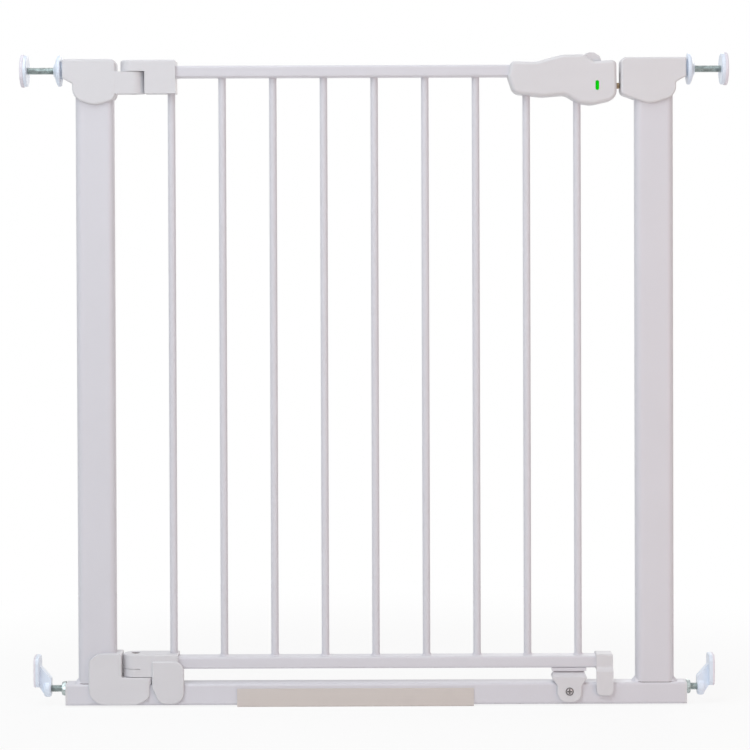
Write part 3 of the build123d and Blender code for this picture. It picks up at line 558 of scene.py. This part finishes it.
def green_finish(colours):
    """Green moulding with a painted glow: a little emission lifts it against the shade of its window."""
    material, shader, place = new_finish("fluorescent_green")
    cloud = place.noise(scale=300.0)
    colour = cloud.shade(colours.green, low=1.0, high=0.92)
    colour.feed(shader, "Base Color")
    # Painted glow: the green also feeds a weak emission
    colour.feed(shader, "Emission Color")
    (0.42 + 0.1 * cloud).feed(shader, "Roughness")
    shader.inputs["Emission Strength"].default_value = 0.2
    shader.inputs["Specular IOR Level"].default_value = 0.08
    return material


def nylon_finish(colours):
    """Natural nylon, waxy and slightly cloudy."""
    material, shader, place = new_finish("natural_nylon")
    cloud = place.noise(scale=150.0, detail=3.0)
    cloud.shade(colours.nylon, low=1.0, high=0.93).feed(shader, "Base Color")
    (0.36 + 0.1 * cloud).feed(shader, "Roughness")
    return material


FINISHES = {
    PAINT: paint_finish,
    PLASTIC: plastic_finish,
    COOL_PLASTIC: cool_plastic_finish,
    RUBBER: rubber_finish,
    ZINC: zinc_finish,
    BROWNED: browned_finish,
    STRIP: strip_finish,
    GREEN: green_finish,
    NYLON: nylon_finish,
}
made_finishes = {}


def finish_of(slot):
    """Material of a slot of the record, made once."""
    if slot not in made_finishes:
        made_finishes[slot] = FINISHES[slot](bpy.context.scene.gate_colours)
    return made_finishes[slot]


def grid_faces(rows, columns, closed_rows=False):
    """Quads between neighbours of a grid of points. Its columns close on themselves, its rows may."""
    row = np.arange(rows if closed_rows else rows - 1)
    row, column = np.meshgrid(row, np.arange(columns), indexing="ij")
    below = (row + 1) % rows
    beside = (column + 1) % columns
    corners = (
        row * columns + column,
        below * columns + column,
        below * columns + beside,
        row * columns + beside,
    )
    return np.stack(corners, axis=-1).reshape(-1, 4)


def make_piece(name, body, slot, surfaces, replaced=(), material=None):
    """Closed mesh from (points, faces) surfaces, with its finish, riding on a body."""
    starts = np.cumsum([0] + [len(points) for points, _ in surfaces])
    points = np.concatenate([points for points, _ in surfaces])
    faces = np.concatenate([faces + start for (_, faces), start in zip(surfaces, starts)])
    mesh = bpy.data.meshes.new(name)
    mesh.from_pydata(points.tolist(), [], faces.tolist())
    work = bmesh.new()
    work.from_mesh(mesh)
    bmesh.ops.remove_doubles(work, verts=work.verts, dist=MERGE_DISTANCE)
    bmesh.ops.recalc_face_normals(work, faces=work.faces)
    work.to_mesh(mesh)
    work.free()
    mesh.polygons.foreach_set("use_smooth", np.ones(len(mesh.polygons), bool))
    mesh.set_sharp_from_angle(angle=SHARP_ANGLE)
    mesh.materials.append(material or finish_of(slot))
    piece = bpy.data.objects.new(name, mesh)
    bpy.context.scene.collection.objects.link(piece)
    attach(piece, body)
    if replaced:
        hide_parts(*replaced)


def node_middle(node):
    """Middle of a node's box."""
    low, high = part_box(node)
    return (low + high) / 2


def node_turning(node, sign):
    """Inner end, thickness towards the wall and radius of a node that is turned about X."""
    low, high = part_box(node)
    inner = low.x if sign > 0 else high.x
    return inner, (high.x - low.x) * sign, (high.z - low.z) / 2


def turned_about_x(along, radius, centre, steps, swell=None):
    """Surface turned about a line along X: each (along, radius) point of a profile goes round a
    circle, and swell, where given, multiplies the radius at each point and angle."""
    angle = np.linspace(0, TURN, steps, endpoint=False)
    radius = np.asarray(radius)[:, None] * np.ones(steps)
    if swell is not None:
        radius = radius * swell(angle)
    x = np.asarray(along)[:, None] * np.ones(steps)
    y = centre[1] + radius * np.cos(angle)
    z = centre[2] + radius * np.sin(angle)
    points = np.stack((x, y, z), axis=-1).reshape(-1, 3)
    return points, grid_faces(len(along), steps)


def threaded_rod(low, high, centre, radius, pitch, depth):
    """Screw thread: at place x and angle a the phase is x / pitch - a / turn, and the radius goes from
    root to crest and back as a clipped triangle wave of that phase. The wave fades to the root over the
    last pitch at each end, and the ends close on the axis."""
    around = 32
    steps_a_turn = 8
    slope = 3.2
    root_share = 0.3
    along = np.linspace(low, high, int((high - low) / pitch * steps_a_turn))
    angle = np.linspace(0, TURN, around, endpoint=False)
    phase = (along[:, None] / pitch - angle / TURN) % 1
    tooth = np.clip(abs(phase - 0.5) * slope - root_share, 0, 1)
    lead_in = np.clip(np.minimum(along - low, high - along) / pitch, 0, 1)[:, None]
    reach = radius - depth * (1 - tooth * lead_in)
    x = along[:, None] * np.ones(around)
    rod = np.stack((x, centre[1] + reach * np.cos(angle), centre[2] + reach * np.sin(angle)), axis=-1)
    ends = [np.tile((end, centre[1], centre[2]), (1, around, 1)) for end in (low, high)]
    points = np.concatenate((ends[0], rod, ends[1])).reshape(-1, 3)
    return points, grid_faces(len(along) + 2, around)


def rounded_path(half_x, half_y, radius, steps):
    """Points and outward normals of a rounded rectangle: a quarter circle about the centre of each
    corner, with the same number of steps at each."""
    turn = np.linspace(0, TURN / 4, steps)
    angle = np.concatenate([turn + quarter * TURN / 4 for quarter in range(4)])
    normal = np.stack((np.cos(angle), np.sin(angle)), axis=-1)
    sign_x = np.repeat((1, -1, -1, 1), steps)
    sign_y = np.repeat((1, 1, -1, -1), steps)
    corner = np.stack((sign_x * (half_x - radius), sign_y * (half_y - radius)), axis=-1)
    return corner + radius * normal, normal


def bead(path, normal, size_out, size_up, level, upward, ripple, hollow):
    """Weld bead along a closed path: its section is a superellipse quarter that leaves the wall at
    size_up and the floor at size_out, drawn in more as the power hollow grows past 2, which is a
    straight slope. It closes on a root inside the corner, and its size ripples along the path like
    laid coins."""
    root = (-0.2,)
    coin_share = 0.10
    arc = np.linspace(0, TURN / 4, 7)
    out = np.concatenate((np.cos(arc) ** hollow, root))
    up = np.concatenate((np.sin(arc) ** hollow, root))
    length = np.concatenate(((0,), np.cumsum(np.linalg.norm(np.diff(path, axis=0), axis=1))))
    coin = 1 + coin_share * np.sin(TURN * length / ripple)
    across = (size_out * coin)[:, None] * out
    rise = (size_up * coin)[:, None] * up
    xy = path[:, None, :] + normal[:, None, :] * across[:, :, None]
    z = level + upward * rise
    points = np.concatenate((xy, z[:, :, None]), axis=-1).reshape(-1, 3)
    return points, grid_faces(len(path), len(out), closed_rows=True)


def cross_head(centre, radius, height, facing):
    """Pan head of a screw along Y: the height falls from the middle with the fourth power of the share
    of the radius, less a cross-shaped recess whose depth is a steep step at the edges of each arm. It
    closes on its flat back."""
    arm = 0.13 * radius
    reach = 0.62 * radius
    edge = 0.05 * radius
    rim_fall = 0.55
    recess = 0.7
    around = 64
    rings = np.linspace(0, 1, 22)
    angle = np.linspace(0, TURN, around, endpoint=False)
    u = radius * rings[:, None] * np.cos(angle)
    v = radius * rings[:, None] * np.sin(angle)
    narrow = np.minimum(abs(u), abs(v))
    long = np.maximum(abs(u), abs(v))
    inside = np.clip((arm - narrow) / edge + 0.5, 0, 1) * np.clip((reach - long) / edge + 0.5, 0, 1)
    dome = height * (1 - rim_fall * rings[:, None] ** 4) - recess * height * inside
    face = np.stack((centre[0] + u, centre[1] + facing * dome, centre[2] + v), axis=-1)
    rim = np.stack((centre[0] + u[-1], centre[1] + 0 * u[-1], centre[2] + v[-1]), axis=-1)[None]
    back = np.tile(np.asarray(centre, float), (1, around, 1))
    points = np.concatenate((face, rim, back)).reshape(-1, 3)
    return points, grid_faces(len(rings) + 2, around)


class GATE_OT_stage(bpy.types.Operator):
    """Camera, lamps, pale floor and white surroundings"""

    bl_idname = "gate.stage"
    bl_label = "Stage"

    def execute(self, context):
        """Set the stage."""
        stage = context.scene.gate_stage
        context.scene.view_settings.view_transform = "Standard"
        self.camera(context, stage)
        self.world(context, stage)
        self.floor(context)
        for name, place, size, colour in LAMPS:
            self.lamp(context, f"{name}_lamp", place, getattr(stage, name), size, colour)
        return {"FINISHED"}

    def camera(self, context, stage):
        """Almost level camera in front of the gate."""
        data = bpy.data.cameras.new("camera")
        data.lens = stage.lens
        data.shift_y = stage.drop
        camera = bpy.data.objects.new("camera", data)
        camera.location = (stage.aside, -stage.distance, stage.height)
        camera.rotation_euler = (TURN / 4 - stage.tilt, stage.roll, 0)
        context.scene.collection.objects.link(camera)
        context.scene.camera = camera

    def lamp(self, context, name, place, power, size, colour):
        """Soft square lamp that looks at the middle of the gate."""
        data = bpy.data.lights.new(name, "AREA")
        data.energy = power
        data.size = size
        data.color = colour
        lamp = bpy.data.objects.new(name, data)
        lamp.location = place
        look = [there - here for there, here in zip(LAMP_TARGET, place)]
        flat = math.hypot(look[0], look[1])
        lamp.rotation_euler = (math.atan2(flat, -look[2]), 0, math.atan2(-look[0], look[1]))
        context.scene.collection.objects.link(lamp)

    def seen(self, start):
        """1 for what the camera sees, directly, in a reflection or through glass."""
        camera, glossy, through = (start.node("ShaderNodeLightPath", output=ray) for ray in SEEN_RAYS)
        return camera.larger(glossy).larger(through)

    def world(self, context, stage):
        """White to look at, and even pale light for the gate."""
        world = bpy.data.worlds.new("surroundings")
        world.use_nodes = True
        tree = world.node_tree
        tree.nodes.clear()
        start = Wire(tree)
        light = {"Color": AMBIENT_COLOUR, "Strength": stage.ambient}
        around = start.node("ShaderNodeBackground", inputs=light)
        white = start.node("ShaderNodeBackground", inputs={"Color": WHITE, "Strength": 1.0})
        mixed = start.node("ShaderNodeMixShader", inputs={0: self.seen(start), 1: around, 2: white})
        mixed.feed(tree.nodes.new("ShaderNodeOutputWorld"), "Surface")
        context.scene.world = world

    def floor(self, context):
        """Pale floor that fades to white away from the gate and keeps its shadow near it."""
        half = FLOOR_HALF
        corners = [(-half, -half, 0), (half, -half, 0), (half, half, 0), (-half, half, 0)]
        mesh = bpy.data.meshes.new("floor")
        mesh.from_pydata(corners, [], [(0, 1, 2, 3)])
        material, shader, place = new_finish("pale_floor")
        shader.inputs["Roughness"].default_value = 0.9
        shader.inputs["Specular IOR Level"].default_value = 0.1
        place.noise(scale=4.0).blend(*FLOOR_COLOURS).feed(shader, "Base Color")
        white = place.node("ShaderNodeEmission", inputs={"Color": WHITE, "Strength": 1.0})
        away = place.node("ShaderNodeVectorMath", {"operation": "LENGTH"}, {0: place}, output=1)
        share = self.seen(place) * (NEAR_WHITE + (1 - NEAR_WHITE) * away.ramp(FADE_START, FADE_END))
        lit = Wire(material.node_tree, shader.outputs[0])
        mixed = place.node("ShaderNodeMixShader", inputs={0: share, 1: lit, 2: white})
        mixed.feed(material.node_tree.nodes["Material Output"], "Surface")
        mesh.materials.append(material)
        floor = bpy.data.objects.new("floor", mesh)
        context.scene.collection.objects.link(floor)


class GATE_OT_finishes(bpy.types.Operator):
    """Give every modelled piece the finish that its slot names"""

    bl_idname = "gate.finishes"
    bl_label = "Finishes"

    def execute(self, context):
        """Assign the materials."""
        for row in frame["record"]["subparts"]:
            slots = frame["nodes"][row["node"]].material_slots
            for slot in slots:
                slot.link = "OBJECT"
                slot.material = finish_of(row["material_slot"])
        return {"FINISHED"}


class GATE_OT_threads(bpy.types.Operator):
    """Screw threads on the four spindles"""

    bl_idname = "gate.threads"
    bl_label = "Threads"

    def execute(self, context):
        """Replace each plain spindle by a threaded one."""
        sizes = context.scene.gate_sizes
        thread = (sizes.thread_pitch, sizes.thread_depth)
        for level in ("upper", "lower"):
            for side, _ in SIDES:
                node = f"{level}_{side}_spindle"
                low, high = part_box(node)
                radius = (high.z - low.z) / 2
                rod = threaded_rod(low.x, high.x, node_middle(node), radius, *thread)
                make_piece(f"{level}_{side}_thread", f"{level}_{side}_screw", ZINC, [rod], [node])
        return {"FINISHED"}


class GATE_OT_wheels(bpy.types.Operator):
    """Hand wheels with a scalloped rim"""

    bl_idname = "gate.wheels"
    bl_label = "Hand wheels"

    def execute(self, context):
        """Replace each turned wheel by one with grips."""
        grips = context.scene.gate_sizes.wheel_grips
        for side, sign in SIDES:
            node = f"upper_{side}_wheel"
            body = f"upper_{side}_hand_wheel"
            wheel = self.wheel(*node_turning(node, sign), node_middle(node), grips)
            make_piece(f"upper_{side}_grip_wheel", body, COOL_PLASTIC, [wheel], [node])
        return {"FINISHED"}

    def wheel(self, inner, thick, rim, centre, grips):
        """Turned wheel, in shares of its thickness and of its rim's radius: a collar, then a rim that is
        a flat sixth-power curve across its width with narrow grooves, then a cone that falls as a raised
        cosine towards the wall. Shallow grips run round the rim."""
        bore = 0.236
        collar = 0.517
        rim_start = 0.14
        rim_end = 0.56
        cone_step = 0.03
        cone_end = 0.40
        edge_fall = 0.07
        groove_depth = 0.008
        groove_count = 4
        groove_crest = 0.6
        gripped_past = 0.9
        grip_depth = 0.007
        steps_a_grip = 6
        across = np.linspace(0, 1, 25)
        edges = edge_fall * abs(2 * across - 1) ** 6
        grooves = groove_depth * (np.cos(TURN * groove_count * across) > groove_crest)
        rim_radius = 1 - edges - grooves
        fall = 0.5 + 0.5 * np.cos(TURN / 2 * across)
        cone_radius = cone_end + (rim_radius[-1] - cone_step - cone_end) * fall
        rim_along = rim_start + (rim_end - rim_start) * across
        cone_along = rim_end + (1 - rim_end) * across
        along = np.concatenate(((0, 0, rim_start), rim_along, cone_along, (1, 0)))
        radius = np.concatenate(((bore, collar, collar), rim_radius, cone_radius, (bore, bore)))
        on_rim = (radius > gripped_past)[:, None]

        def swell(angle):
            """Rim points dip between the grips as a raised cosine."""
            return 1 - on_rim * grip_depth * (0.5 - 0.5 * np.cos(grips * angle))

        return turned_about_x(inner + thick * along, rim * radius, centre, grips * steps_a_grip, swell)


class GATE_OT_wall_pads(bpy.types.Operator):
    """Rubber wall pads with grooves round the rim and rings in the face"""

    bl_idname = "gate.wall_pads"
    bl_label = "Wall pads"

    def execute(self, context):
        """Replace each plain disc by a moulded one."""
        for side, sign in SIDES:
            node = f"upper_{side}_wall_pad"
            pad = self.pad(*node_turning(node, sign), node_middle(node))
            make_piece(f"upper_{side}_moulded_pad", f"upper_{side}_screw", RUBBER, [pad], [node])
        return {"FINISHED"}

    def pad(self, inner, thick, rim, centre):
        """Turned disc, in shares of its thickness and of its rim's radius: the rim is a flat sixth-power
        curve across its width, less grooves where a cosine of the width is high, and the face is flat,
        less rings where a cosine of the radius is high."""
        edge_fall = 0.05
        groove_depth = 0.010
        groove_count = 3
        groove_crest = 0.75
        grooved_half = 0.42
        face_radius = 0.93
        ring_depth = 0.10
        ring_count = 5
        ring_crest = 0.6
        plain_middle = 0.15
        across = np.linspace(0, 1, 41)
        edges = edge_fall * abs(2 * across - 1) ** 6
        grooved = (np.cos(TURN * groove_count * across) > groove_crest) & (abs(across - 0.5) < grooved_half)
        reach = np.linspace(face_radius, 0, 48)
        ringed = (np.cos(TURN * ring_count * reach) > ring_crest) & (reach > plain_middle)
        along = np.concatenate(((0,), across, 1 - ring_depth * ringed, (1,)))
        radius = np.concatenate(((0,), 1 - edges - groove_depth * grooved, reach, (0,)))
        return turned_about_x(inner + thick * along, rim * radius, centre, steps=96)


class GATE_OT_foot_pads(bpy.types.Operator):
    """Rubber sheets on the feet, with raised ribs on the wall side"""

    bl_idname = "gate.foot_pads"
    bl_label = "Foot pads"

    def execute(self, context):
        """Replace each plain sheet by a ribbed one."""
        for side, sign in SIDES:
            node = f"lower_{side}_foot_pad"
            sheet = self.sheet(*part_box(node), sign)
            make_piece(f"lower_{side}_ribbed_pad", f"lower_{side}_offset_foot", RUBBER, [sheet], [node])
        return {"FINISHED"}

    def sheet(self, low, high, sign):
        """Rounded oblong whose size shrinks to its middle on both faces: each ring is the outline
        times a share, at a thickness that a rounded edge and then a cosine of ribs give."""
        corner = 0.008
        edge = 0.0008
        rib_depth = 0.00035
        rib_count = 5
        flat_rim = 0.9
        half_y = (high.y - low.y) / 2
        half_z = (high.z - low.z) / 2
        thick = high.x - low.x
        path, normal = rounded_path(half_y, half_z, corner, steps=14)
        turn = np.linspace(0, TURN / 4, 6)
        inset = np.concatenate(((0,), edge * (1 - np.cos(turn))))
        rounding = np.concatenate(((0,), thick - edge + edge * np.sin(turn)))
        share = np.linspace(1, 0, 26)[1:]
        ribs = thick - rib_depth * (0.5 - 0.5 * np.cos(TURN * rib_count * share)) * (share < flat_rim)
        back = np.zeros_like(path)[None]
        rim = path[None] - normal[None] * inset[:, None, None]
        face = rim[-1][None] * share[:, None, None]
        outline = np.concatenate((back, rim, face))
        depth = np.concatenate(((0,), rounding, ribs))
        inner = low.x if sign > 0 else high.x
        x = (inner + sign * depth)[:, None] * np.ones(len(path))
        middle = np.array(((low.y + high.y) / 2, (low.z + high.z) / 2))
        points = np.concatenate((x[:, :, None], outline + middle), axis=-1).reshape(-1, 3)
        return points, grid_faces(len(depth), len(path))


class GATE_OT_bar_welds(bpy.types.Operator):
    """Weld beads where the bars meet the rails of the door"""

    bl_idname = "gate.bar_welds"
    bl_label = "Bar welds"

    def execute(self, context):
        """Lay a bead round each bar end that shows, half as large at the top."""
        size = context.scene.gate_sizes.bar_bead
        lower = [self.ring(number, size, "bottom") for number in LOWER_WELDS]
        upper = [self.ring(number, size / 2, "top") for number in UPPER_WELDS]
        make_piece("lower_bar_welds", "door", PAINT, lower)
        make_piece("upper_bar_welds", "door", PAINT, upper)
        return {"FINISHED"}

    def ring(self, number, size, end):
        """Bead round one bar: its size grows with the squared cosine of the angle, so it is larger at the
        two sides than at the front, and a lean that depends on the bar's number makes each one its own."""
        front_share = 0.45
        side_share = 0.75
        taller = 1.25
        most_lean = 0.25
        lean_step = 2.4
        low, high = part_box(f"door_bar_{number}")
        centre = node_middle(f"door_bar_{number}")
        radius = (high.x - low.x) / 2
        angle = np.linspace(0, TURN, 48, endpoint=False)
        normal = np.stack((np.cos(angle), np.sin(angle)), axis=-1)
        path = np.array((centre.x, centre.y)) + (radius - BAR_SINK) * normal
        lean = most_lean * math.sin(lean_step * number)
        spread = size * (front_share + side_share * np.cos(angle) ** 2 * (1 + lean * np.cos(angle)))
        level = low.z if end == "bottom" else high.z
        upward = 1 if end == "bottom" else -1
        level = level - upward * BAR_SINK
        return bead(path, normal, spread, spread * taller, level, upward, BAR_RIPPLE, BAR_HOLLOW)


class GATE_OT_post_welds(bpy.types.Operator):
    """Weld beads where the posts stand on the rail"""

    bl_idname = "gate.post_welds"
    bl_label = "Post welds"

    def execute(self, context):
        """Lay a bead round the foot of each post."""
        size = context.scene.gate_sizes.post_bead
        # Weld coat with painted shade along the front of each post's foot
        coat = seam_shade_finish(context.scene.gate_colours)
        for side, _ in SIDES:
            foot = self.foot(f"{side}_post", size)
            make_piece(f"{side}_post_weld", "frame", PAINT, [foot], material=coat)
        return {"FINISHED"}

    def foot(self, node, size):
        """Bead round one post: its size grows with the cube of how far the wall faces sideways, so it is
        thin at the front and back."""
        front_share = 0.16
        side_share = 0.84
        taller = 1.2
        low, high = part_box(node)
        centre = node_middle(node)
        path, normal = rounded_path((high.x - low.x) / 2, (high.y - low.y) / 2, POST_CORNER, steps=24)
        path = path + np.array((centre.x, centre.y))
        spread = size * (front_share + side_share * abs(normal[:, 0]) ** 3)
        level = low.z - POST_SINK
        return bead(path, normal, spread, spread * taller, level, 1, POST_RIPPLE, POST_HOLLOW)


class GATE_OT_screws(bpy.types.Operator):
    """Domed heads with a cross recess on the screws"""

    bl_idname = "gate.screws"
    bl_label = "Screw heads"

    def execute(self, context):
        """Put detailed heads over the plain ones at the back, and a new screw in the catch."""
        sizes = context.scene.gate_sizes
        rise = sizes.head_rise
        posts = [(node_middle(f"{side}_post").x, BRACKET_SCREW_Z) for side, _ in SIDES]
        heads = self.back_heads("bracket_screws", posts, sizes.screw_head, rise, BRACKET_RISE)
        make_piece("bracket_screw_heads", "frame", ZINC, heads)
        small = self.back_heads("handle_screws", HANDLE_SCREWS, sizes.small_head, rise, HANDLE_RISE)
        make_piece("handle_screw_heads", "door", ZINC, small)
        middle = node_middle("catch_screw")
        height = CATCH_RISE * rise
        base = (middle.x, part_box("catch_screw")[0].y + height, middle.z)
        head = cross_head(base, sizes.screw_head, height, facing=-1)
        dull = catch_screw_finish(context.scene.gate_colours, middle, sizes.screw_head)
        make_piece("catch_cross_screw", "frame", ZINC, [head], ["catch_screw"], material=dull)
        return {"FINISHED"}

    def back_heads(self, node, places, radius, rise, share):
        """Heads at (width, height) places, sunk a little into the plain heads of a node at the back."""
        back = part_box(node)[1].y - HEAD_SINK * rise
        return [cross_head((x, back, z), radius, share * rise, facing=1) for x, z in places]


class GATE_PT_panel(bpy.types.Panel):
    """Sidebar list of the steps that dress the gate"""

    bl_idname = "GATE_PT_panel"
    bl_label = "Gate"
    bl_space_type = "VIEW_3D"
    bl_region_type = "UI"
    bl_category = "Gate"

    def draw(self, context):
        """One button for each step."""
        for step in STEPS:
            self.layout.operator(step.bl_idname)


SETTINGS = {"gate_colours": GateColours, "gate_sizes": GateSizes, "gate_stage": GateStage}
STEPS = (
    GATE_OT_stage,
    GATE_OT_finishes,
    GATE_OT_threads,
    GATE_OT_wheels,
    GATE_OT_wall_pads,
    GATE_OT_foot_pads,
    GATE_OT_bar_welds,
    GATE_OT_post_welds,
    GATE_OT_screws,
)
CLASSES = (*SETTINGS.values(), *STEPS, GATE_PT_panel)


def register():
    """Add the classes and their settings."""
    for each in CLASSES:
        bpy.utils.register_class(each)
    for name, group in SETTINGS.items():
        setattr(bpy.types.Scene, name, bpy.props.PointerProperty(type=group))


def unregister():
    """Take the settings and classes away."""
    for name in SETTINGS:
        delattr(bpy.types.Scene, name)
    for each in reversed(CLASSES):
        bpy.utils.unregister_class(each)


def main():
    """Dress the gate."""
    register()
    for step in STEPS:
        group, name = step.bl_idname.split(".")
        getattr(getattr(bpy.ops, group), name)()


if __name__ == "__main__":
    main()
